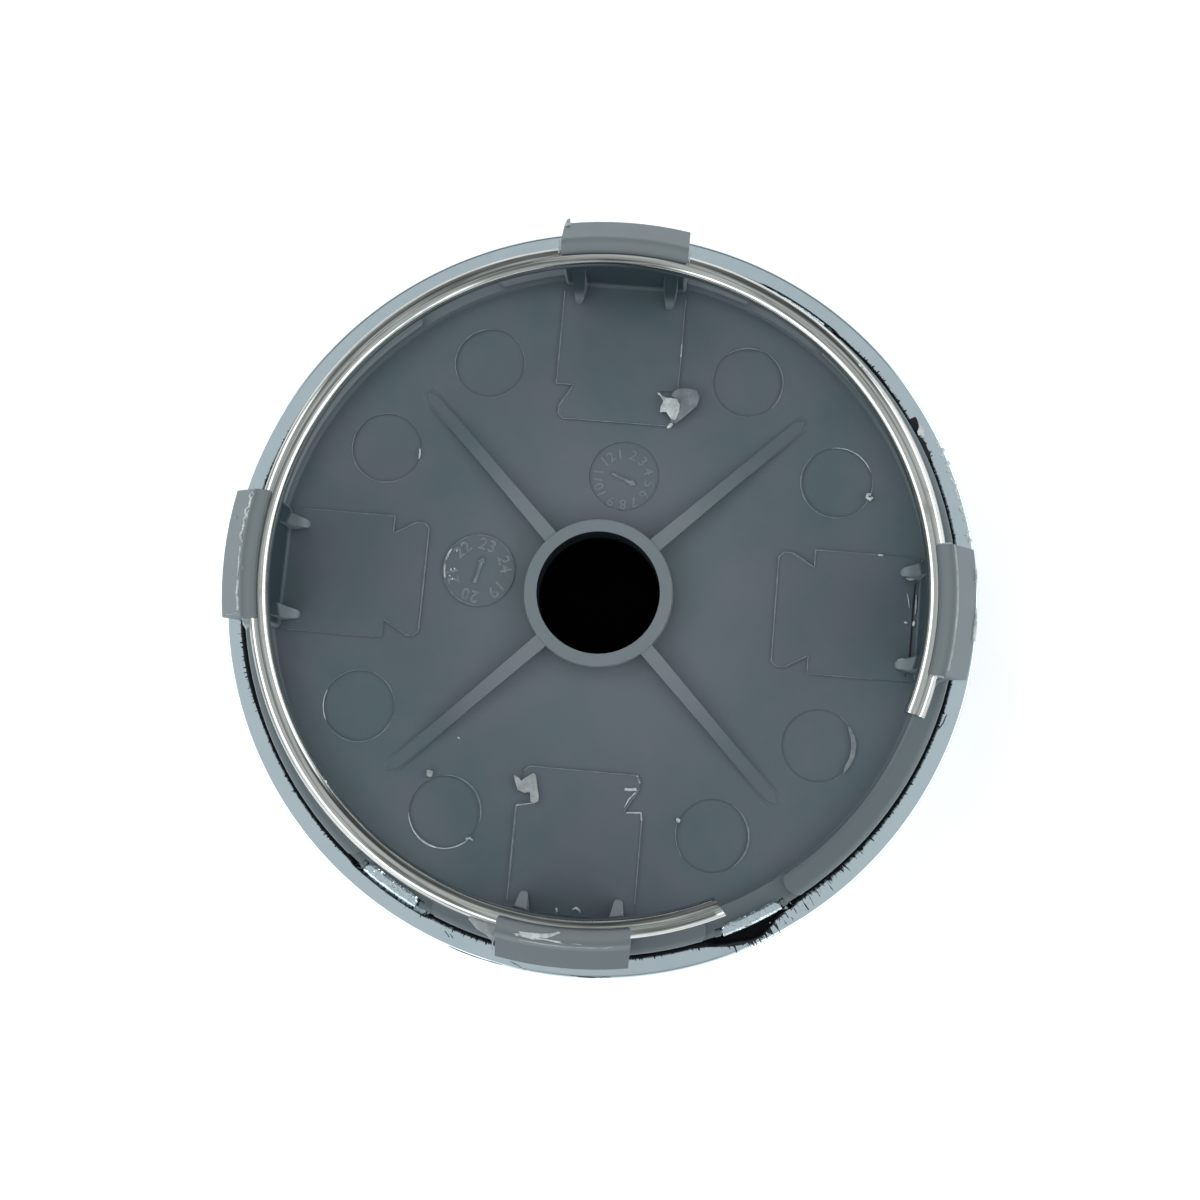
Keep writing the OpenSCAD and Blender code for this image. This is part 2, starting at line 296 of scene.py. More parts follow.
# %% The moulded grey plastic
def moulded_grey():
    material, finish = new_material("grey_abs_moulded", 0.0, 0.46)
    place = object_place(material)
    axes = axes_of(place)
    flat = flattened(place)
    distance = vector_node("LENGTH", flat)
    facing = add_node(material.node_tree, "NewGeometry", {}).outputs["Normal"]
    outward = vector_node("DOT_PRODUCT", vector_node("NORMALIZE", flat), facing)

    def above(level, start, end):
        return fade(axes["Z"], level + start * MM, level + end * MM)

    def beyond(start, end):
        return fade(distance, start * MM, end * MM)

    clouds = noise(place, 160, 5, 0.6)
    floor_grey = ramp(clouds, [
        (0.36, (0.070, 0.106, 0.118)), (0.5, (0.082, 0.109, 0.128)), (0.64, (0.094, 0.112, 0.136))])
    # Painted shade: the floor is paler near the centre and darker out towards the rim and the
    # clips.
    floor_centre_painted_light = both(beyond(21, 9), 0.16)
    floor_grey = mix_colors(floor_centre_painted_light, floor_grey, (0.180, 0.200, 0.210))
    raised_grey = ramp(clouds, [(0.3, (0.138, 0.175, 0.188)), (0.7, (0.161, 0.187, 0.206))])
    color = mix_colors(above(floor_z, 0.25, 0.9), floor_grey, raised_grey)

    # Painted shade: the rim is a dark grey, lighter only on its outer band away from the wire.
    rim = both(beyond(27.2, 27.6), above(floor_z, 1.9, 1.4))
    rim_painted_shade_grey = mix_colors(beyond(29.1, 29.5), (0.104, 0.132, 0.146), (0.150, 0.184, 0.198))
    color = mix_colors(rim, color, rim_painted_shade_grey)

    # Painted light and shade: the clips' outward faces are lighter, as lit from the sides, and
    # darker on the near side.
    outward_painted_light = both(fade(outward, 0.3, 0.6), above(floor_z, 2.5, 4.5))
    near_side = fade(axes["Y"], -20 * MM, -28 * MM)
    outward_painted_light_grey = mix_colors(near_side, (0.160, 0.196, 0.214), (0.116, 0.144, 0.157))
    color = mix_colors(outward_painted_light, color, outward_painted_light_grey)

    # Painted bands on a clip's crest: painted shade below the ridge and at the inner edge, a
    # painted highlight along the ridge.
    crest = both(above(top_z, -0.35, -0.2), beyond(26.7, 26.9))
    crest_painted_bands = ramp(spread(distance, 26.9 * MM, 28.4 * MM), [
        (0.08, (0.070, 0.085, 0.090)), (0.24, (0.140, 0.165, 0.173)), (0.55, (0.158, 0.185, 0.194)),
        (0.84, (0.122, 0.146, 0.154)), (0.95, (0.165, 0.196, 0.206))])
    color = mix_colors(crest, color, crest_painted_bands)

    inward = fade(outward, -0.75, -0.95)
    shaded = both(inward, above(floor_z, 0.3, 1.6))
    color = mix_colors(shaded, color, (0.020, 0.038, 0.045))

    in_ring = both(beyond(23.8, 24.0), beyond(26.45, 26.3))
    gusset = both(above(floor_z, 0.15, 0.5), in_ring)
    lit = spread(axes["Y"], 22 * MM, -22 * MM)
    color = mix_colors(both(gusset, lit), color, (0.215, 0.252, 0.266))
    # Painted shade: the wall of the hub's hole is near black.
    color = mix_colors(both(inward, beyond(5.5, 5.4)), color, (0.004, 0.008, 0.010))

    waves = bump(noise(place, 420, 3, 0.5), 0.25, 0.06 * MM)
    grain = bump(noise(place, 5200, 2, 0.6), 0.18, 0.012 * MM, waves)
    gloss = grey_ramp(clouds, [(0.3, 0.40), (0.7, 0.54)])
    plug(finish, {"Base Color": color, "Roughness": gloss, "Normal": grain})
    return material


# %% [markdown]
# ## Chrome plate
# The bezel is black plastic with a bright plating over it. Plating follows every flaw of the
# plastic below, so it is slightly wavy, and it is a cool blue-grey next to the wire's warm steel.
# The plating stops at the mouth in a ragged edge, because the inside of the wall was masked. The
# edge is a radius that changes with the direction: it reaches further in at the upper right of
# the picture, and it is worn back, with black hairs, along the lower right. Along the lower left
# the black also reaches over the mouth's chamfer as a painted dark reflection, with black hairs.
# Two tables say by direction, in degrees, how far the black reaches out and how hairy the edge is.

# %% Directions round the cap's axis, for materials
def polar(place):
    axes = axes_of(place)
    angle = math_node("ARCTAN2", axes["Y"], axes["X"])
    return angle, vector_node("LENGTH", flattened(place)), axes["Z"]


def by_angle(angle, stops):
    turn = math_node("FRACT", math_node("DIVIDE", angle, 2 * math.pi))
    return grey_ramp(turn, [(degrees / 360, value) for degrees, value in stops])


# Painted reflection and wear: at the lower left the black stands for the chamfer's dark reflection;
# elsewhere the plating is worn back.
wear_and_dark_reflection = [
    (0, 0.05), (14, -0.06), (26, 0.0), (28, 0.24), (34, 0.0), (38, 0.03), (43, 0.16), (51, 0.10),
    (58, 0.0), (150, -0.08), (175, 0.0), (191, 0.26), (200, 0.20), (208, 0.02), (230, 0.04),
    (250, -0.05), (275, 0.0), (290, 0.02), (293, 0.4), (296.5, 1.0), (300, 1.15), (303, 0.6),
    (306, 0.05), (316, -0.10), (345, -0.15)]
hair_growth = [
    (0, 0.1), (20, 0.25), (40, 0.35), (60, 0.1), (180, 0.2), (190, 0.35), (230, 0.25), (252, 0.45),
    (262, 0.2), (292, 0.3), (297, 0.8), (303, 1.3), (313, 1.1), (322, 0.5), (335, 0.2)]
print("plating tables:", len(wear_and_dark_reflection), "and", len(hair_growth), "directions")


# %% The chrome plate with its ragged edge
def chrome_plate():
    material, finish = new_material("chrome_plate_bright", 1.0, 0.16)
    place = object_place(material)
    angle, radius, height = polar(place)
    haze = noise(place, 260, 4, 0.6)
    plating = ramp(haze, [(0.3, (0.65, 0.78, 0.84)), (0.7, (0.69, 0.81, 0.87))])

    hairs = noise(combined(both(angle, 0.03), both(radius, 0.12)), 5200, 2, 0.7)
    flakes = noise(place, 2600, 3, 0.6)
    hairy = by_angle(angle, hair_growth)
    bare_r = math_node("MULTIPLY_ADD", by_angle(angle, wear_and_dark_reflection), MM, 30.02 * MM)
    ragged = both(both(math_node("SUBTRACT", flakes, 0.5), hairy), 0.55 * MM)
    hair_reach = math_node("SUBTRACT", fade(hairs, 0.50, 0.68), 0.05)
    hair_reach = both(both(hair_reach, hairy), 0.9 * MM)
    bare_r = math_node("ADD", math_node("ADD", bare_r, ragged), hair_reach)

    plated = math_node("GREATER_THAN", radius, bare_r)
    outer_side = both(math_node("LESS_THAN", height, 3.9 * MM),
                      math_node("GREATER_THAN", radius, 31.15 * MM))
    finger = math_node("LESS_THAN", radius, 29.83 * MM)
    front_side = math_node("LESS_THAN", height, 1.95 * MM)
    for always in (outer_side, finger, front_side):
        plated = math_node("MAXIMUM", plated, always)
    bare_black, bare_dull = (0.006, 0.008, 0.011), (0.75, 0.75, 0.75)
    gloss = grey_ramp(noise(place, 900, 3), [(0.35, 0.13), (0.75, 0.22)])

    waves = bump(noise(place, 300, 2, 0.4), 0.15, 0.03 * MM)
    lumps = bump(both(noise(place, 1500, 3, 0.6), finger), 0.8, 0.25 * MM, waves)
    plug(finish, {"Base Color": mix_colors(plated, bare_black, plating), "Metallic": plated,
                  "Roughness": mix_colors(plated, bare_dull, gloss), "Normal": lumps})
    return material


# %% [markdown]
# ## Spring steel
# The wire is drawn through a die, which leaves fine streaks along it. The cosine and the sine of
# the direction run round the cap without a seam. They are scaled far down, so a noise changes
# slowly along the wire, while the radius and the height keep their size and change it quickly
# across. The noise so becomes streaks.

# %% The drawn spring steel
def drawn_steel():
    material, finish = new_material("spring_steel_drawn", 1.0, 0.14)
    place = object_place(material)
    angle, radius, height = polar(place)
    along = both(math_node("COSINE", angle), 0.6 * MM)
    across = math_node("MULTIPLY_ADD", math_node("SINE", angle), 0.2 * MM, radius)
    streaks = noise(combined(along, across, height), 4200, 3, 0.6)
    stains = noise(place, 330, 3, 0.6)
    color = ramp(streaks, [
        (0.40, (0.22, 0.24, 0.23)), (0.5, (0.48, 0.51, 0.49)), (0.58, (0.68, 0.71, 0.68))])
    color = mix_colors(fade(stains, 0.55, 0.75), color, (0.46, 0.48, 0.45))
    gloss = grey_ramp(stains, [(0.3, 0.09), (0.75, 0.15)])
    plug(finish, {"Base Color": color, "Roughness": gloss,
                  "Normal": bump(streaks, 0.22, 0.006 * MM)})
    return material


# %% [markdown]
# ## Black front disc
# The disc closes the front. Its face is gloss black. Its hidden back, which shows through the
# hub's hole, is painted near black and gives back no light, as painted shade in the hole.

# %% The black disc's gloss face, and its back in painted shade
def disc_black():
    material, finish = new_material("black_gloss_disc", 0.0, 0.3)
    place = object_place(material)
    # Painted shade: the back, seen through the hub's hole, is near black and reflects nothing.
    back = fade(axes_of(place)["Z"], seat_z - 0.3 * MM, seat_z - 0.1 * MM)
    peel = noise(place, 900, 2, 0.5)
    gloss = grey_ramp(peel, [(0.3, 0.05), (0.7, 0.11)])
    color = ramp(noise(place, 200, 3), [
        (0.3, (0.003, 0.003, 0.004)), (0.7, (0.005, 0.005, 0.006))])
    plug(finish, {"Base Color": mix_colors(back, color, (0.001, 0.001, 0.001)),
                  "Roughness": mix_colors(back, gloss, (0.9, 0.9, 0.9)),
                  "Specular IOR Level": mix_colors(back, (0.3, 0.3, 0.3), (0.0, 0.0, 0.0)),
                  "Normal": bump(peel, 0.15, 0.01 * MM)})
    return material


grey_plastic = moulded_grey()
bright_chrome = chrome_plate()
steel = drawn_steel()
black_plastic = disc_black()
nodes["front_disc"].data.materials.clear()
nodes["front_disc"].data.materials.append(black_plastic)
print("finishes:", [m.name for m in (grey_plastic, bright_chrome, steel, black_plastic)])

# %% [markdown]
# ## The moulded base
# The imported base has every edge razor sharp, and a real moulding never does: each edge catches
# a thin line of light. A copy of the solid's mesh is merged, its flat faces are joined again,
# and a small bevel runs along every edge that turns by more than 32 degrees.

# %% Helpers that pick, edit and finish one piece
def only(piece):
    bpy.ops.object.select_all(action="DESELECT")
    bpy.context.view_layer.objects.active = piece
    piece.select_set(True)


def start_editing(piece):
    only(piece)
    bpy.ops.object.mode_set(mode="EDIT")
    bpy.ops.mesh.select_all(action="SELECT")


def stop_editing():
    bpy.ops.object.mode_set(mode="OBJECT")


def turn_normals_out(piece):
    start_editing(piece)
    bpy.ops.mesh.normals_make_consistent(inside=False)
    stop_editing()


def apply_modifier(piece, kind, **settings):
    only(piece)
    added = piece.modifiers.new(kind.lower(), kind)
    for name, value in settings.items():
        setattr(added, name, value)
    bpy.ops.object.modifier_apply(modifier=added.name)


def bevel_edges(piece, width, sharper_than=30, **settings):
    apply_modifier(piece, "BEVEL", width=width * MM, segments=2, limit_method="ANGLE",
                   angle_limit=math.radians(sharper_than), **settings)


def smooth_flats(piece, sharp_angle):
    only(piece)
    bpy.ops.object.shade_smooth_by_angle(angle=math.radians(sharp_angle))
    apply_modifier(piece, "WEIGHTED_NORMAL", weight=100, keep_sharp=True)


def finish_piece(piece, material):
    piece.data.materials.clear()
    piece.data.materials.append(material)
    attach(piece, "root")
    print(piece.name, len(piece.data.polygons), "faces")
    return piece


# %% A merged copy of the base, with soft edges
def merged_copy(node_name, name):
    piece = nodes[node_name].copy()
    piece.data = nodes[node_name].data.copy()
    piece.parent = None
    for key in [k for k in piece.keys() if k.startswith("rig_")]:
        del piece[key]
    piece.name = name
    piece.data.name = name
    bpy.context.scene.collection.objects.link(piece)
    start_editing(piece)
    bpy.ops.mesh.remove_doubles(threshold=0.001 * MM)
    bpy.ops.mesh.customdata_custom_splitnormals_clear()
    bpy.ops.mesh.select_all(action="SELECT")
    bpy.ops.mesh.dissolve_limited(angle_limit=math.radians(0.6))
    stop_editing()
    return piece


moulding = merged_copy("clip_base", "moulded_base")
bevel_edges(moulding, 0.09, 32, miter_outer="MITER_ARC", use_clamp_overlap=True)
smooth_flats(moulding, 35)
finish_piece(moulding, grey_plastic)
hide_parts("clip_base")

# %% [markdown]
# ## The chromed bezel
# The bezel is round, so it is drawn as the solids draw it: one outline of its wall is spun round
# the axis. Chrome shows every facet, so the spin has 360 steps. Behind each snap finger the
# wall is relieved, which is done by moving the wall outwards there.

# %% Spin the bezel's wall
def on_circle(radius, degrees, center=(0, 0)):
    turn = math.radians(degrees)
    return center[0] + radius * math.cos(turn), center[1] + radius * math.sin(turn)


def arc_points(center_r, center_z, width, height, first, last, steps):
    turns = [math.radians(first + (last - first) * i / steps) for i in range(steps + 1)]
    return [(center_r + width * math.cos(t), center_z + height * math.sin(t)) for t in turns]


def mesh_piece(name, corners, edges, faces):
    mesh = bpy.data.meshes.new(name)
    mesh.from_pydata(corners, edges, faces)
    return new_object(name, mesh)


def spin_outline(name, outline, first, last, steps):
    corners = [(*on_circle(radius * MM, first), z * MM) for radius, z in outline]
    edges = [(i, (i + 1) % len(corners)) for i in range(len(corners))]
    piece = mesh_piece(name, corners, edges, [])
    start_editing(piece)
    bpy.ops.mesh.spin(
        steps=steps, angle=math.radians(first - last), center=(0, 0, 0), axis=(0, 0, 1))
    bpy.ops.mesh.select_all(action="SELECT")
    bpy.ops.mesh.remove_doubles(threshold=0.001 * MM)
    if last - first < 360:
        bpy.ops.mesh.select_all(action="DESELECT")
        bpy.ops.mesh.select_non_manifold()
        bpy.ops.mesh.edge_face_add()
    bpy.ops.mesh.select_all(action="SELECT")
    bpy.ops.mesh.normals_make_consistent(inside=False)
    stop_editing()
    return piece


bezel_r, pocket_r, disc_pocket_r, lip_r = 31.5, 29.85, 28.8, 27.6
flange, bezel_seat, lip_t, lip_slope = 4.5, 2.0, 0.9, 0.7
rest_in_r, rest_out_r, nose_h, back_round, mouth_bevel = 28.3, 29.3, 3.4, 0.3, 0.25
flange_flat = bezel_r - back_round
wall = [(lip_r, lip_t), (lip_r, lip_slope), (rest_in_r, 0)]
wall += arc_points(rest_out_r, nose_h, bezel_r - rest_out_r, nose_h, -90, 0, 16)
wall += arc_points(flange_flat, flange - back_round, back_round, back_round, 0, 90, 5)
wall += [(pocket_r + mouth_bevel, flange), (pocket_r, flange - mouth_bevel)]
wall += [(pocket_r, bezel_seat), (disc_pocket_r, bezel_seat), (disc_pocket_r, lip_t)]
bezel = spin_outline("plated_bezel", wall, 0, 360, 360)
print("bezel wall", len(wall), "points round")

# %% How far the wall is relieved behind each finger, and broken beside one of them
finger_places = [60, 120, 240, 300]
relief_depth = 0.35
relief_half = 7.0
relief_edge = 0.8
break_line = [
    (291, 0.0), (293, 0.2), (295, 0.35), (297, 0.6), (299, 0.85), (301, 0.8), (302.5, 0.45),
    (304, 0.0)]
flange_edge_left = 0.1
dice = random.Random(7)


def apart(angle, other):
    return abs((angle - other + 180) % 360 - 180)


def relief_at(angle):
    nearest = min(apart(angle, place) for place in finger_places)
    share = (relief_half + relief_edge / 2 - nearest) / relief_edge
    return relief_depth * min(max(share, 0), 1)


def break_at(angle):
    for (a0, d0), (a1, d1) in zip(break_line, break_line[1:]):
        if a0 <= angle <= a1:
            return d0 + (d1 - d0) * (angle - a0) / (a1 - a0) + dice.uniform(-0.08, 0.08)
    return 0


def where(vertex):
    radius = math.hypot(vertex.co.x, vertex.co.y) / MM
    return radius, math.degrees(math.atan2(vertex.co.y, vertex.co.x)), vertex.co.z / MM


def move_out(vertex, share):
    vertex.co.x *= share
    vertex.co.y *= share


# %% Move the wall's points
jagged = [break_at(angle) for angle in range(360)]
margin = 0.01
for vertex in bezel.data.vertices:
    radius, angle, height = where(vertex)
    on_wall = pocket_r - margin < radius < pocket_r + mouth_bevel + margin
    if on_wall and bezel_seat - margin < height < flange + margin:
        relieved = max(radius, min(pocket_r + relief_depth, radius + relief_at(angle)))
        broken = relieved + max(0, jagged[round(angle) % 360])
        move_out(vertex, min(flange_flat - flange_edge_left, broken) / radius)
print("mouth broken at", sum(depth > 0 for depth in jagged), "of 360 steps")

# %% Snap fingers, lumpy at their hooks and rounded at the ends
finger_out_r, finger_in_r, hook_in_r = 29.8, 29.2, 28.9
finger_foot, recess_z, hook_z, finger_top, hook_lead = bezel_seat - 0.2, 4.8, 4.85, 5.4, 0.18
finger_half = 5
corner_angle, corner_depth = 0.9, 0.3
finger_outline = [
    (finger_in_r, finger_foot), (finger_out_r, finger_foot),
    (finger_out_r, finger_top - hook_lead), (finger_out_r - hook_lead, finger_top),
    (hook_in_r + hook_lead, finger_top), (hook_in_r, finger_top - hook_lead),
    (hook_in_r, hook_z), (finger_in_r, hook_z)]
fingers = [spin_outline("finger", finger_outline, at - finger_half, at + finger_half, 40)
           for at in finger_places]
for finger, at in zip(fingers, finger_places):
    for vertex in finger.data.vertices:
        radius, angle, height = where(vertex)
        from_end = finger_half - apart(angle, at)
        if height > recess_z:
            rounded = max(0, 1 - from_end / corner_angle) ** 2 * corner_depth
            corner = rounded if radius < finger_in_r else 0
            moved = min(finger_out_r, radius + corner + dice.uniform(-0.035, 0.05))
            move_out(vertex, moved / radius)
            vertex.co.z = min(finger_top, height + dice.uniform(-0.05, 0.02)) * MM
only(bezel)
for finger in fingers:
    finger.select_set(True)
bpy.ops.object.join()
smooth_flats(bezel, 30)
finish_piece(bezel, bright_chrome)
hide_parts("chrome_bezel")

# %% [markdown]
# ## The spring wire
# The wire is a round bar bent to a ring with its two ends apart. A circle is stood up at the
# first end and spun through the rest of the turn. The ends were cut off a little slanted, and
# their rims are blunt.

# %% Spin the wire
wire_first, wire_last = 342.0, 656.0
wire_outline = arc_points(ring_r / MM, wire_z / MM, wire_r / MM, wire_r / MM, 0, 345, 23)
wire = spin_outline("spring_wire", wire_outline, wire_first, wire_last, 240)
cut_slants = [(wire_first % 360, 0.04), (wire_last % 360, 0.25)]
for vertex in wire.data.vertices:
    for end, slant in cut_slants:
        if abs(where(vertex)[1] % 360 - end) < 0.1:
            reach = math.hypot(vertex.co.x, vertex.co.y) - ring_r
            vertex.co = Matrix.Rotation(slant * reach / ring_r, 3, "Z") @ vertex.co
bevel_edges(wire, 0.07, 50)
smooth_flats(wire, 40)
finish_piece(wire, steel)
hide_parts("spring_ring")

# %% [markdown]
# ## Flash on the floor
# Where two parts of a mould meet, plastic creeps into the gap and leaves flash: a thin raised
# line. It runs round every ejector pin and round the faces of the four inserts, and it is torn
# and uneven. Each line is a curve with a round section whose thickness wanders, made a mesh.
# Four greys tell its thickness: the figures of the date stamps, thin flash, thick pale flash,
# and flash that is torn and nearly white.

# %% Paler greys for thin and torn plastic
def torn_grey(name, dark, light, roughness):
    material, finish = new_material(name, 0.0, roughness)
    place = object_place(material)
    patches = ramp(noise(place, 1400, 4, 0.65), [(0.35, dark), (0.68, light)])
    plug(finish, {"Base Color": patches, "Normal": bump(noise(place, 3000, 3), 0.4, 0.03 * MM)})
    return material


figure_grey = torn_grey("grey_abs_figures", (0.120, 0.150, 0.170), (0.165, 0.195, 0.215), 0.5)
thin_grey = torn_grey("grey_abs_thin", (0.118, 0.145, 0.160), (0.195, 0.225, 0.238), 0.5)
pale_grey = torn_grey("grey_abs_pale", (0.25, 0.28, 0.29), (0.38, 0.42, 0.43), 0.5)
torn_white = torn_grey("grey_abs_torn", (0.30, 0.35, 0.36), (0.62, 0.66, 0.66), 0.55)
print("greys:", [m.name for m in (figure_grey, thin_grey, pale_grey, torn_white)])

# %% Curves with a wandering thickness
def wander(count, low, high, steps=5):
    keys = [dice.uniform(low, high) for _ in range(count // steps + 2)]
    values = []
    for i in range(count):
        share = i % steps / steps
        values.append(keys[i // steps] * (1 - share) + keys[i // steps + 1] * share)
    return values


def made_mesh(name, data):
    only(new_object(name, data))
    bpy.ops.object.convert(target="MESH")
    return bpy.context.object


def lines_to_mesh(name, lines, material, thickness):
    curve = bpy.data.curves.new(name, "CURVE")
    curve.dimensions = "3D"
    curve.bevel_depth = thickness * MM
    curve.bevel_resolution = 1
    curve.use_fill_caps = True
    for line in lines:
        spline = curve.splines.new("POLY")
        spline.points.add(len(line) - 1)
        for point, (x, y, z, share) in zip(spline.points, line):
            point.co = (x * MM, y * MM, min(z, top_z / MM - thickness * share) * MM, 1)
            point.radius = share
    piece = made_mesh(name, curve)
    bpy.ops.object.shade_smooth()
    return finish_piece(piece, material)


def arc_line(center, radius, level, first, last, low, high):
    count = max(6, int(abs(last - first) * radius / 12))
    shares = wander(count + 1, low, high)
    line = []
    for i in range(count + 1):
        fade_out = min(1, 4 * min(i, count - i) / count + 0.25)
        at = on_circle(radius, first + (last - first) * i / count, center)
        line.append((*at, level, shares[i] * fade_out))
    return line


def turned(x, y, across, upward):
    return x * across - y * upward, x * upward + y * across


def path_line(points, level, low, high, degrees=0.0):
    dense = []
    for (x0, y0), (x1, y1) in zip(points, points[1:]):
        steps = max(1, int(math.hypot(x1 - x0, y1 - y0) / 0.25))
        dense += [(x0 + (x1 - x0) * i / steps, y0 + (y1 - y0) * i / steps) for i in range(steps)]
    dense.append(points[-1])
    shares = wander(len(dense), low, high, 3)
    heading = on_circle(1, degrees)
    return [(*turned(x, y, *heading), level, share) for (x, y), share in zip(dense, shares)]


# %% [markdown]
# Eight pins stand on one circle. Each arc below is written under its pin's direction as the
# angles between which it runs, and the least and the greatest share of the line's thickness.

# %% Flash round the eight ejector pins
floor = floor_z / MM
pin_circle = 22.1
pin_r = 3.0
thin_arcs = {
    30: [(130, 300, 0.6, 1.0), (300, 372, 0.3, 0.6)],
    60: [(-45, 60, 0.5, 1.0), (70, 130, 0.6, 1.1), (150, 300, 0.15, 0.35)],
    120: [(85, 215, 0.5, 0.9), (215, 330, 0.2, 0.4), (-10, 60, 0.25, 0.5)],
    150: [(135, 320, 0.5, 1.0), (20, 120, 0.25, 0.5)],
    210: [(205, 350, 0.5, 0.9), (10, 150, 0.35, 0.7)],
    240: [(-20, 100, 0.6, 1.1), (100, 180, 0.2, 0.4)],
    300: [(-55, 60, 0.7, 1.1), (165, 220, 0.4, 0.7)],
    330: [(35, 58, 0.4, 0.8), (-60, -38, 0.3, 0.7)],
}
torn_arcs = {
    30: [(22, 102, 0.4, 0.9)],
    60: [(84, 112, 0.3, 0.7)],
    210: [(158, 208, 0.4, 0.9)],
    240: [(186, 322, 0.6, 1.3)],
    330: [(-38, 36, 0.4, 1.2)],
}
thin_lines, torn_lines = [
    [arc_line(on_circle(pin_circle, at), pin_r, floor, *arc) for at, arcs in table.items()
     for arc in arcs] for table in (thin_arcs, torn_arcs)]
print(len(thin_lines), "thin and", len(torn_lines), "torn arcs round the pins")

# %% Flash round the faces of the four inserts
face = floor + 0.1
head = [(17.8, 5.2), (17.8, 3.7), (15.9, 4.8), (15.2, 4.8), (14.8, 4.4)]
other_head = [(x, -y) for x, y in head]
inner_edge = [(14.8, 4.4), (14.8, -4.4)]
insert_lines = {
    0: [(inner_edge, 0.6, 1.0), (head, 0.6, 1.0), (other_head, 0.5, 0.8),
        ([(17.8, 5.2), (23.4, 5.2)], 0.3, 0.7), ([(17.8, -5.2), (23.2, -5.2)], 0.3, 0.6)],
    90: [(inner_edge, 0.4, 0.8), (head, 0.6, 1.0), ([(15.2, -4.8), (14.8, -4.4)], 0.5, 0.9),
         ([(17.8, 5.2), (26, 5.2)], 0.5, 0.9), ([(18.2, -5.2), (26, -5.2)], 0.4, 0.7)],
    180: [(inner_edge, 0.7, 1.1), (other_head, 0.6, 1.0), (head[2:], 0.7, 1.0),
          (head[1:3], 0.3, 0.5), ([(17.8, -5.2), (25.5, -5.2)], 0.4, 0.8),
          ([(18.5, 5.2), (26, 5.2)], 0.15, 0.35)],
    270: [(inner_edge, 0.5, 0.9), (head[3:], 0.8, 1.3), (other_head[3:], 0.5, 0.9),
          (head[1:3], 0.4, 0.8), ([(18.1, 5.2), (25.2, 5.2)], 0.5, 1.0),
          ([(18.1, -5.2), (25.8, -5.2)], 0.7, 1.1)],
}
torn_edges = {
    0: [([(23.0, 5.2), (23.4, 5.2)], 0.9, 1.3)],
    90: [([(20.5, -5.2), (22.0, -5.2)], 0.4, 1.0)],
    270: [([(14.8, 4.5), (15.4, 4.8)], 0.7, 1.2), ([(16.0, 4.6), (16.05, 3.7)], 0.9, 1.7),
          ([(16.2, 4.5), (16.8, 4.0), (17.5, 3.7)], 0.5, 1.1),
          ([(17.9, 3.9), (17.8, 5.1), (18.4, 5.2)], 0.8, 1.8),
          ([(17.8, -3.9), (18.1, -5.2)], 0.5, 1.0)],
}
for table, lines in ((insert_lines, thin_lines), (torn_edges, torn_lines)):
    for at, paths in table.items():
        lines += [path_line(path, face, low, high, at) for path, low, high in paths]
print(len(thin_lines), "thin and", len(torn_lines), "torn lines with those of the inserts")

# %% [markdown]
# ## Date stamps
# Two stamps give the month and the year: figures round a dial, and an arrow that points at one
# of them. The month stamp is sunk in the floor, and the year stamp stands up. The figures stand
# with their tops outwards.

# %% Figures and arrows
def figure(text, center, radius, angle, height, level):
    letters = bpy.data.curves.new("figure_" + text, "FONT")
    letters.body = text
    letters.size = height / 0.7 * MM
    letters.align_x = "CENTER"
    letters.align_y = "CENTER"
    letters.extrude = 0.03 * MM
    letters.offset = 0.03 * MM
    letters.resolution_u = 3
    letters.space_character = 1.1
    piece = made_mesh("figure_" + text, letters)
    place = Matrix.Translation(Vector((*on_circle(radius, angle, center), level)) * MM)
    piece.data.transform(place @ Matrix.Rotation(math.radians(angle) - math.pi / 2, 4, "Z"))
    return piece


def arrow_lines(center, angle, length, level, thick):
    tip = length / 2
    shape = [[(-tip, 0, 1), (tip - 0.2, 0, 1)],
             [(tip - 0.5, 0.2, 0.8), (tip - 0.05, 0, 1), (tip - 0.5, -0.2, 0.8)]]
    lines = []
    for run in shape:
        places = [turned(a, b, *on_circle(1, angle)) for a, b, _ in run]
        lines.append([(center[0] + x, center[1] + y, level, thick * share)
                      for (x, y), (_, _, share) in zip(places, run)])
    return lines


def join_pieces(pieces, name, material):
    only(pieces[0])
    for piece in pieces:
        piece.select_set(True)
    bpy.ops.object.join()
    joined = bpy.context.object
    joined.name = name
    joined.data.name = name
    return finish_piece(joined, material)


month_center = (1.256, 10.223)
year_center = (-10.234, 1.166)
stamp_r = 3.0
month_level = floor - 0.1
year_level = floor + 0.1
month_turns = [103, 73, 48, 22, -7, -34, -62, -87, -115, -150, 177, 133]
year_turns = {22: 133, 23: 76, 24: 17, 19: -42, 20: -104, 21: 197}
dial_center = (month_center[0], month_center[1] - 0.25)
months = [figure(str(month), dial_center, 2.15, at, 0.84, month_level)
          for month, at in enumerate(month_turns, 1)]
join_pieces(months, "month_figures", figure_grey)
years = [figure(str(year), year_center, 2.2, at, 0.98, year_level)
         for year, at in year_turns.items()]
join_pieces(years, "year_figures", thin_grey)

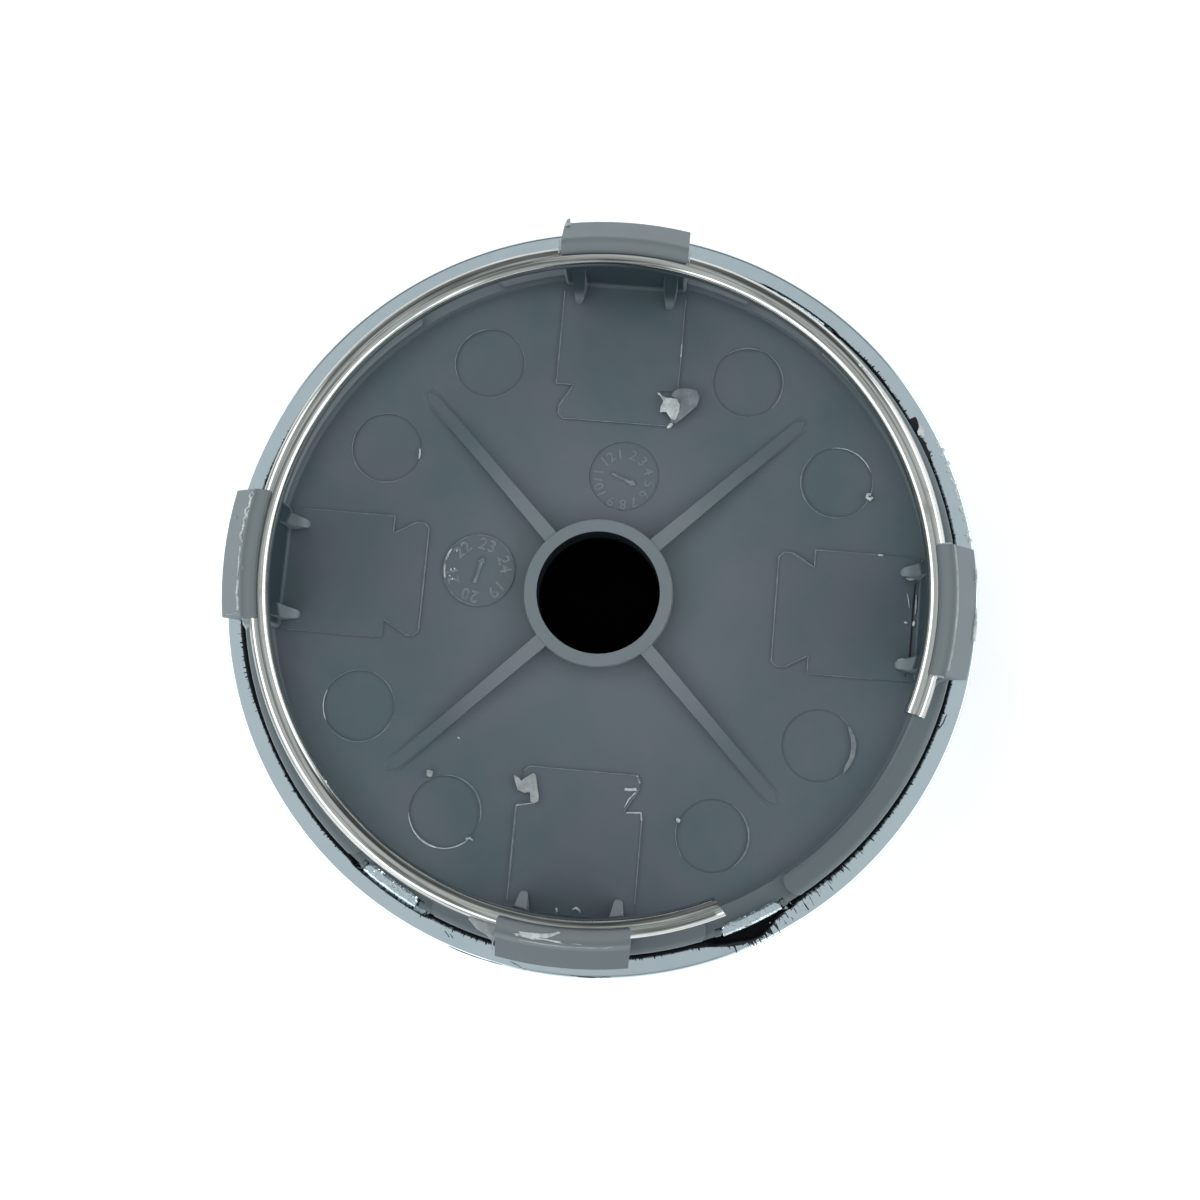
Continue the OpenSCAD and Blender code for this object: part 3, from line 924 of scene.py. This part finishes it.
# %% The stamps' arrows and their edges
thin_lines += arrow_lines(dial_center, -22, 2.2, month_level, 1.9)
thin_lines += arrow_lines(year_center, 76, 2.3, year_level, 1.9)
thin_lines.append(arc_line(year_center, stamp_r, year_level, 0, 360, 0.3, 0.8))
thin_lines.append(arc_line(month_center, stamp_r, floor, 60, 300, 0.15, 0.4))
torn_lines.append(arc_line(year_center, stamp_r - 0.05, year_level, 146, 168, 0.6, 1.6))
torn_lines.append(arc_line(year_center, stamp_r - 0.1, year_level, 174, 198, 0.4, 1.5))
for x, y, share in [(-12.26, 2.62, 2.2), (-12.95, 2.1, 1.8), (-12.6, 0.98, 1.8),
                    (-12.3, 1.08, 1.4), (-12.65, 0.45, 1.3), (-12.4, 0.2, 1.6)]:
    torn_lines.append([(x - 0.06, y, year_level, share * 0.5), (x, y + 0.05, year_level, share),
                       (x + 0.08, y, year_level, share * 0.5)])
print(len(thin_lines), "thin and", len(torn_lines), "torn lines with those of the stamps")

# %% [markdown]
# ## Flakes and bits
# Torn flash lies about as flakes. The largest hangs on the notch of the far insert: a smooth grey
# lobe, and a white piece that is folded over it. Each flake is an outline that is filled,
# thickened, and lifted unevenly off the floor.

# %% Flakes of torn flash
def no_lift(x, y):
    return 0.0


def flake(name, outline, level, thickness, lift, material):
    area = sum(x0 * y1 - x1 * y0
               for (x0, y0), (x1, y1) in zip(outline, outline[1:] + outline[:1]))
    outline = outline if area > 0 else outline[::-1]
    corners = [(x * MM, y * MM, level * MM) for x, y in outline]
    piece = mesh_piece(name, corners, [], [list(range(len(corners)))])
    start_editing(piece)
    bpy.ops.mesh.quads_convert_to_tris()
    bpy.ops.mesh.subdivide(number_cuts=2)
    stop_editing()
    for vertex in piece.data.vertices:
        x, y = vertex.co.x / MM, vertex.co.y / MM
        vertex.co.z += lift(x, y) * MM + dice.uniform(-0.015, 0.015) * MM
    apply_modifier(piece, "SOLIDIFY", thickness=thickness * MM, offset=-1)
    bevel_edges(piece, thickness * 0.3, 50)
    turn_normals_out(piece)
    bpy.ops.object.shade_smooth_by_angle(angle=math.radians(40))
    return finish_piece(piece, material)


lobe = [
    (4.69, 17.64), (5.18, 18.05), (6.0, 18.13), (6.73, 18.0), (7.05, 17.45), (6.91, 16.64),
    (6.36, 16.09), (5.73, 15.45), (5.18, 15.0), (4.76, 15.18), (5.09, 16.09), (5.45, 16.64),
    (5.18, 17.09), (4.69, 17.36)]
fold = [
    (3.55, 17.55), (3.91, 17.0), (4.27, 17.09), (5.18, 17.09), (5.45, 16.64), (5.45, 16.09),
    (5.18, 15.27), (4.82, 15.36), (4.36, 15.91), (3.82, 15.87), (3.85, 16.36), (4.04, 16.82),
    (3.72, 17.4)]
hook = [
    (-5.64, -15.64), (-5.18, -15.82), (-4.96, -16.09), (-4.73, -15.82), (-4.05, -15.36),
    (-3.82, -15.45), (-3.4, -17.18), (-3.4, -17.64), (-3.82, -17.85), (-4.05, -17.64),
    (-4.18, -16.91), (-4.64, -17.04), (-5.18, -16.82), (-5.45, -16.18)]
crescent = [
    (21.4, -9.2), (21.85, -9.7), (22.25, -10.6), (22.2, -11.6), (21.85, -12.5), (21.3, -13.3),
    (21.4, -12.6), (21.75, -11.8), (21.85, -11.0), (21.75, -10.2)]
crumb = [
    (-12.86, -15.88), (-12.62, -15.84), (-12.36, -15.92), (-12.34, -16.2), (-12.5, -16.4),
    (-12.82, -16.34)]
flake("flake_lobe", lobe, floor + 0.12, 0.14, lambda x, y: 0.28 + 0.10 * (x - 5.5), thin_grey)
flake("flake_fold", fold, floor + 0.18, 0.12,
      lambda x, y: 0.45 - 0.25 * abs(x - 4.6) + 0.1 * (y - 16), torn_white)
flake("flake_hook", hook, floor + 0.12, 0.16, lambda x, y: 0.12 + 0.1 * abs(x + 4.6), pale_grey)
flake("flake_crescent", crescent, floor + 0.08, 0.10, lambda x, y: 0.04, thin_grey)
flake("flake_bit", crumb, floor + 0.28, 0.3, no_lift, pale_grey)

# %% [markdown]
# Smaller bits are short thick lines. A point is written by its place, its lift off the floor and
# its share of the thickness.

# %% Small bits and burrs
bits = [
    [(4.95, 15.05, 0.25, 1.6), (4.75, 14.8, 0.15, 2.4), (4.55, 14.64, 0.1, 1.4)],
    [(22.05, 10.3, 0.1, 1.6), (21.8, 10.25, 0.1, 2.2), (21.75, 10.0, 0.1, 2.4),
     (22.0, 9.85, 0.1, 2.4), (22.2, 10.05, 0.1, 1.5)],
    [(-9.1, -21.2, 0.05, 1.0), (-8.75, -21.1, 0.08, 1.5), (-8.5, -21.25, 0.1, 0.8)],
    [(-16.3, 11.2, 0.05, 0.5), (-16.25, 10.7, 0.1, 1.4), (-16.3, 10.3, 0.05, 0.5)],
    [(8.1, -18.0, 0.05, 1.6), (8.2, -18.15, 0.1, 2.6), (8.25, -18.3, 0.05, 1.2)],
    [(0.2, -26.1, 0.05, 1.0), (0.45, -25.95, 0.1, 2.0), (0.75, -26.1, 0.1, 1.6),
     (0.8, -26.3, 0.05, 0.8)],
    [(-1.15, -26.1, 0.05, 1.0), (-1.05, -26.3, 0.1, 1.8), (-1.1, -26.45, 0.05, 0.7)],
    [(-10.6, -12.95, 0.0, 0.8), (-10.45, -13.05, 0.02, 1.2)],
    [(3.6, -16.0, 0.1, 1.6), (4.0, -16.02, 0.12, 1.8), (4.55, -15.92, 0.1, 1.7)],
    [(25.5, -0.28, 0.12, 0.8), (25.65, -0.3, 0.16, 1.8), (25.78, -0.3, 0.12, 0.8)],
    [(26.27, -0.1, 0.15, 0.8), (26.3, -0.3, 0.2, 2.2), (26.27, -0.52, 0.15, 1.4)],
    [(25.4, 3.4, 0.2, 0.5), (25.7, 3.34, 0.25, 1.6), (26.1, 3.38, 0.3, 0.8)],
    [(25.1, -3.5, 0.2, 0.5), (25.4, -3.4, 0.25, 1.4), (25.75, -3.38, 0.3, 1.0),
     (26.0, -3.4, 0.3, 0.5)],
]
torn_lines += [[(x, y, floor + lift, share) for x, y, lift, share in run] for run in bits]
lines_to_mesh("flash_thin", thin_lines, thin_grey, 0.083)
lines_to_mesh("flash_torn", torn_lines, torn_white, 0.07)

# %% [markdown]
# ## Flash on the clips
# The barbs were formed between two mould halves, so their ridges carry flash. It is a plain
# line on one clip, torn and doubled on another, and smeared over the top of the nearest one.
# A point on a clip is written by its direction, its radius and its height. A barb's slope falls
# 1.6 mm over a width of 1.85 mm, so the height of a point on it follows from its radius.

# %% Helpers for lines along the clips
top = top_z / MM
ridge = top - 0.07
barb_r, barb_z = 30.15, top - 1.54
steps_between = 6


def slope_z(radius):
    return top - max(0.07, (radius - 28.35) * 1.6 / 1.85)


def level_points(height, *places):
    return [(angle, radius, height) for angle, radius in places]


def slope_points(*places):
    return [(angle, radius, slope_z(radius)) for angle, radius in places]


def around(points, low, high):
    shares = wander(len(points) * steps_between, low, high, 2)
    line = []
    for (a0, r0, z0), (a1, r1, z1) in zip(points, points[1:]):
        for i in range(steps_between):
            radius = r0 + (r1 - r0) * i / steps_between + dice.uniform(-0.025, 0.025)
            at = on_circle(radius, a0 + (a1 - a0) * i / steps_between)
            line.append((*at, z0 + (z1 - z0) * i / steps_between, shares[len(line)]))
    return line


def ragged(first, last, low_r, high_r, count, low, high):
    places = []
    for i in range(count + 1):
        radius = dice.uniform(low_r, high_r)
        places.append((first + (last - first) * (i + dice.uniform(-0.3, 0.3)) / count, radius))
    return around(slope_points(*places), low, high)


# %% The flash on the four clips
clip_thin = [
    around(level_points(ridge, (10.6, 28.36), (6, 28.4), (0, 28.42), (-6, 28.4), (-10.4, 28.36)),
           1.3, 2.0),
    around([(10.8, 28.2, ridge), (10.9, 27.6, ridge), (11.0, 27.05, ridge - 0.1)], 0.6, 1.3),
    around([(-10.8, 28.2, ridge), (-10.9, 27.6, ridge), (-11.1, 27.05, ridge - 0.1)], 0.6, 1.3),
    around([(101, 28.3, ridge), (101.1, 27.6, ridge), (101.3, 27.1, ridge - 0.1)], 0.5, 1.1),
    around([(79, 28.3, ridge), (78.9, 27.6, ridge), (78.7, 27.1, ridge - 0.1)], 0.5, 1.1),
    around([(278.8, 28.2, ridge), (277, 28.42, ridge - 0.05), (274, 28.38, ridge),
            (270, 28.4, ridge), (262, 28.35, ridge)], 0.5, 1.1),
    around([(259.6, 28.3, ridge), *slope_points((259.4, 29.2), (259.6, 29.9))], 0.4, 1.0),
    ragged(186, 177, 28.1, 28.3, 6, 0.4, 1.0),
    around(slope_points((189.8, 28.5), (189.9, 29.2), (189.7, 29.8)), 0.3, 0.8),
]
clip_torn = [
    ragged(189.5, 184.5, 28.46, 28.56, 6, 1.0, 1.9),
    ragged(184, 178.8, 28.44, 28.56, 5, 0.8, 1.6),
    ragged(178.4, 170, 28.4, 28.72, 14, 0.9, 2.3),
    ragged(174.5, 170, 28.3, 28.5, 7, 0.8, 1.8),
    around(level_points(barb_z, (7.5, barb_r), (5.5, barb_r), (4.8, barb_r)), 1.2, 2.4),
    around(level_points(barb_z, (1.0, barb_r), (-1.2, barb_r + 0.02), (-4.6, barb_r)), 1.0, 2.4),
]
print(len(clip_thin) + len(clip_torn), "lines on the clips")


# %% Smears of flash on the nearest clip and at the clips' ends
def smear(name, places, thickness, level, material):
    outline = [on_circle(radius, angle) for angle, radius in places]
    return flake(name, outline, level, thickness, no_lift, material)


long_smear = [
    (273.4, 28.2), (270, 28.22), (267.4, 28.1), (265.4, 28.18), (263.6, 28.12), (262.6, 28.16),
    (262.2, 28.02), (263.4, 27.92), (262.9, 27.8), (264.8, 27.72), (266.6, 27.66), (268.4, 27.5),
    (269.2, 27.3), (269.7, 27.4), (268.4, 27.74), (267.6, 27.92), (266.2, 27.96), (269.0, 28.04),
    (271.5, 28.1)]
upper_smear = [
    (279, 28.3), (277.6, 28.42), (275.8, 28.35), (274, 28.46), (272.5, 28.32), (275, 28.22),
    (277.5, 28.26)]
left_nub = [
    (259.4, 29.2), (258.2, 28.8), (256.4, 28.6), (254.6, 28.1), (254.8, 27.85), (257.0, 27.9),
    (258.6, 27.4), (259.4, 27.3)]
west_nub = [
    (190.2, 28.5), (191.6, 28.45), (192.6, 28.2), (192.0, 27.9), (191.2, 27.75), (190.4, 27.3)]
east_nub = [(-11.0, 28.2), (-12.2, 28.0), (-12.3, 27.5), (-11.0, 27.4)]
smear("smear_long", long_smear, 0.1, top - 0.015, torn_white)
smear("smear_upper", upper_smear, 0.12, top - 0.02, pale_grey)
smear("nub_left", left_nub, 0.14, ridge - 0.9, pale_grey)
smear("nub_west", west_nub, 0.14, ridge - 1, torn_white)
smear("nub_east", east_nub, 0.3, ridge - 1, thin_grey)

# %% A spike under the far clip, and torn bits beside the left one
spike_x, spike_y = on_circle(29.75, 99.4)
clip_thin.append([(spike_x + x, spike_y + y, barb_z + lift, share) for x, y, lift, share in (
    (0, 0, 0.2, 3.6), (-0.06, 0.4, 0.12, 2.8), (-0.04, 0.65, 0.1, 1.8), (0.06, 0.78, 0.1, 0.8))])
for angle, radius, share in [(174.6, 29.6, 1.7), (193.4, 27.6, 2.4), (194.2, 27.9, 2.0),
                             (192.6, 27.2, 1.6)]:
    x, y = on_circle(radius, angle)
    z = slope_z(radius) if radius > 28.5 else ridge - 1.2
    clip_torn.append([(x, y, z, 0.5), (x + 0.05, y + 0.1, z + 0.05, share), (x, y + 0.22, z, 0.4)])
lines_to_mesh("clip_flash_thin", clip_thin, pale_grey, 0.08)
lines_to_mesh("clip_flash_torn", clip_torn, torn_white, 0.075)

# %% [markdown]
# ## Ribs that run out
# The far end of each rib is blunt: the rib is as wide there as at the hub, and its top runs
# down into the floor. A thin wedge over each end shows that. Eight corners are enough for it,
# first the four below and then the four above.

# %% Blunt rib ends
def block(name, corners, bevel_width, degrees=0):
    corners = [(x * MM, y * MM, z * MM) for x, y, z in corners]
    faces = [(3, 2, 1, 0), (4, 5, 6, 7), (0, 1, 5, 4), (1, 2, 6, 5), (2, 3, 7, 6), (3, 0, 4, 7)]
    piece = mesh_piece(name, corners, [], faces)
    piece.data.transform(Matrix.Rotation(math.radians(degrees), 4, "Z"))
    bevel_edges(piece, bevel_width)
    return piece


def rib_end(degrees):
    inner_r, outer_r, inner_half, outer_half = 14.0, 23.3, 0.53, 0.66
    bottom, inner_top, outer_top = floor - 0.1, floor + 0.47, floor - 0.02
    corners = []
    for z_inner, z_outer in ((bottom, bottom), (inner_top, outer_top)):
        corners += [(inner_r, -inner_half, z_inner), (outer_r, -outer_half, z_outer),
                    (outer_r, outer_half, z_outer), (inner_r, inner_half, z_inner)]
    piece = block("rib_end", corners, 0.09, degrees)
    bpy.ops.object.shade_smooth_by_angle(angle=math.radians(35))
    return piece


join_pieces([rib_end(at) for at in (45, 135, 225, 315)], "rib_ends", grey_plastic)

# %% [markdown]
# ## Notch corners
# The rim's notches are wider than the snap fingers, and flash closes the corners beside them.

# %% Flash in the notch corners
def notch_corner(at, side):
    near, far = at + side * 5.25, at + side * 6.3
    inner_r, outer_r, low, high = 29.15, 29.75, 3.9, 4.72
    corners = [(*on_circle(radius, angle), z) for z in (low, high) for radius, angle in (
        (inner_r, near), (outer_r, near), (outer_r, far), (inner_r, far))]
    piece = block("notch_corner", corners, 0.08)
    turn_normals_out(piece)
    return piece


notch_corners = [notch_corner(at, side) for at in finger_places for side in (-1, 1)]
join_pieces(notch_corners, "notch_corners", grey_plastic)

# %% [markdown]
# ## Flakes of plating
# Where the masked mouth ends, bits of plating have lifted. The largest is at the upper right,
# between two spots of bare black plastic. Torn plating runs along the flange's outer edge below
# it, and a few bits cling to the wire.

# %% Lifted plating
plating_white = torn_grey("plating_torn", (0.45, 0.52, 0.54), (0.80, 0.84, 0.84), 0.35)
# Bare black plastic; the same black also paints the shadow at the right clip's foot.
bare_and_shadow_black = torn_grey("plating_bare_and_painted_shadow", (0.004, 0.006, 0.008), (0.012, 0.016, 0.02), 0.7)
lifted = [
    (25.55, 16.62), (25.75, 16.5), (25.85, 16.3), (26.02, 16.35), (26.1, 15.8), (26.0, 15.35),
    (25.85, 15.6), (25.6, 15.55), (25.5, 15.9), (25.62, 16.2)]
high_blob = [
    (24.75, 16.9), (25.1, 17.1), (25.3, 17.2), (25.5, 16.9), (25.65, 16.4), (25.55, 16.0),
    (25.2, 16.05), (24.9, 16.4)]
low_blob = [
    (25.5, 15.5), (25.9, 15.4), (26.25, 15.1), (26.5, 14.5), (26.75, 14.1), (26.7, 13.6),
    (26.3, 13.7), (25.9, 14.3)]
flake("plating_flake", lifted, flange, 0.1, lambda x, y: 0.1 + 0.15 * (y - 15.4), plating_white)
for name, outline in (("bare_blob_high", high_blob), ("bare_blob_low", low_blob)):
    flake(name, outline, flange + 0.03, 0.08, no_lift, bare_and_shadow_black)

# %% Torn plating along the flange's edge, and bits of it on the wire
edge_steps = 9
edge_lines = []
for first, last in ((29, 26.5), (25.8, 24), (23, 19.5), (18.5, 16), (14.5, 12.6)):
    line = []
    for i in range(edge_steps + 1):
        radius = 31.2 + dice.uniform(-0.24, 0.12)
        at = on_circle(radius, first + (last - first) * i / edge_steps)
        line.append((*at, flange - 0.02, dice.uniform(0.4, 3.0)))
    edge_lines.append(line)
for angle, radius, share in [(44.4, 27.5, 1.5), (43.4, 27.55, 1.0), (221.7, 26.4, 1.6),
                             (222.5, 26.45, 0.9)]:
    lift = math.sqrt(max(0, 0.85 ** 2 - (radius - 27.1) ** 2))
    edge_lines.append([(*on_circle(radius, angle + step), wire_z / MM + lift, thin)
                       for step, thin in ((-0.35, 0.4), (0.0, share), (0.35, 0.4))])
lines_to_mesh("plating_torn_edge", edge_lines, plating_white, 0.07)

# %% [markdown]
# ## Cracks and shadow lines
# Short cracks show black at the flange's lower edge and beside the right clip. Along the foot of
# that clip, where it leaves the insert's face, a black line is a painted shadow, with two curls of
# pale flash on it.

# %% Cracks, and the lines at the foot of the right clip
cracks = [
    around([(277, 31.36, flange - 0.05), (274, 31.38, flange - 0.06),
            (270.5, 31.34, flange - 0.04)], 0.3, 1.4),
    around([(264.2, 31.38, flange - 0.06), (262.8, 31.1, flange), (261.6, 30.95, flange)],
           0.5, 1.0),
    around([(260.6, 31.4, flange - 0.07), (256, 31.42, flange - 0.08),
            (251.5, 31.38, flange - 0.06)], 0.4, 0.9),
    around(level_points(flange, (252.4, 30.7), (251.6, 30.45)), 0.4, 0.9),
    around(level_points(flange, (251.8, 30.75), (250.6, 30.35)), 0.4, 0.9),
    around(level_points(flange, (345.5, 30.35), (344, 30.3), (342.5, 30.05)), 0.5, 1.2),
]
foot_lines = [
    [(26.2, 3.1, face, 0.8), (26.13, 1.5, face, 1.3), (26.13, -1.0, face, 1.1),
     (26.1, -3.1, face, 1.4)],
    [(25.85, -4.5, face, 0.9), (25.8, -5.3, floor, 0.6)],
]
foot_curls = [
    [(25.6, 2.15, face, 0.5), (25.75, 1.6, face + 0.05, 1.2), (25.85, 1.0, face, 0.6)],
    [(26.34, 2.1, face + 0.05, 0.8), (26.38, 1.2, face + 0.05, 1.3),
     (26.34, 0.5, face + 0.05, 0.7)],
]
lines_to_mesh("plating_cracks", cracks, bare_and_shadow_black, 0.045)
# Painted shadow: a black line along the foot of the right clip.
lines_to_mesh("foot_shadow", foot_lines, bare_and_shadow_black, 0.06)
lines_to_mesh("foot_flash", foot_curls, pale_grey, 0.06)
